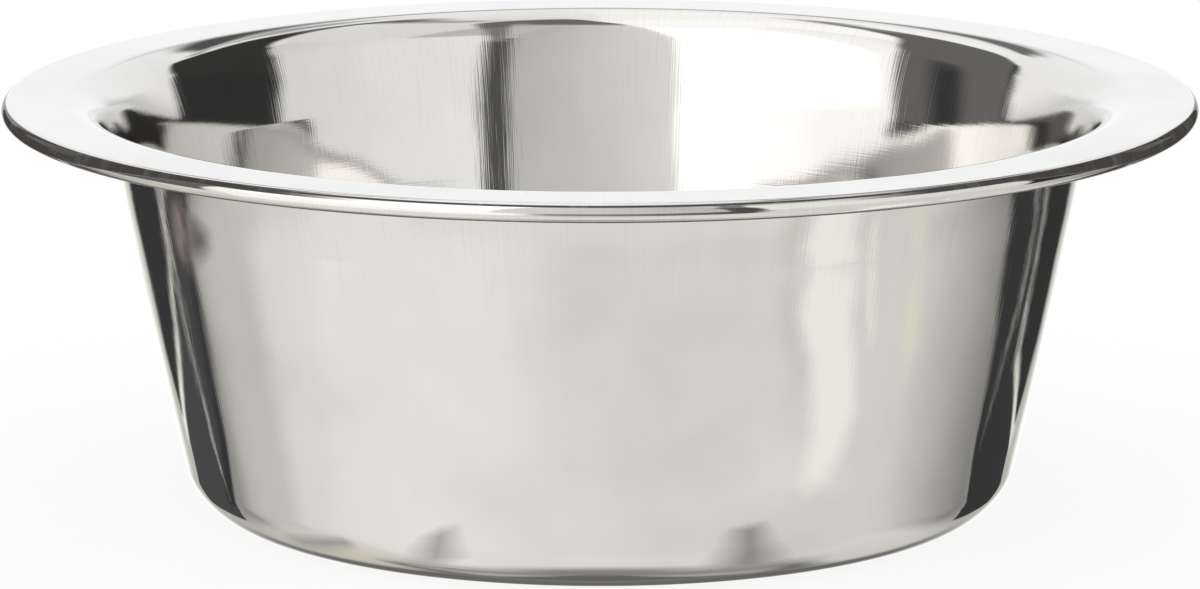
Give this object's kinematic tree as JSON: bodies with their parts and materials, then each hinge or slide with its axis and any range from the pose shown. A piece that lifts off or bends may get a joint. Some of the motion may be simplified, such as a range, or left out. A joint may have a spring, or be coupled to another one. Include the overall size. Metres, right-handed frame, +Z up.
{
  "type": "dog bowl",
  "caption": "Tapered stainless pet bowl of drawn sheet, with a wide flat rim, rolled edge and flat base, for food or water on the floor or in a feeder.",
  "frame": {"origin": "on the floor, at the middle of the base", "axes": "+Z up along the bowl's axis of revolution; X and Y are alike"},
  "size_m": [0.24, 0.24, 0.084],
  "materials": {
    "stainless": "polished stainless sheet with fine brushing"
  },
  "bodies": {
    "root": {"bowl": "stainless"}
  },
  "joints": []
}
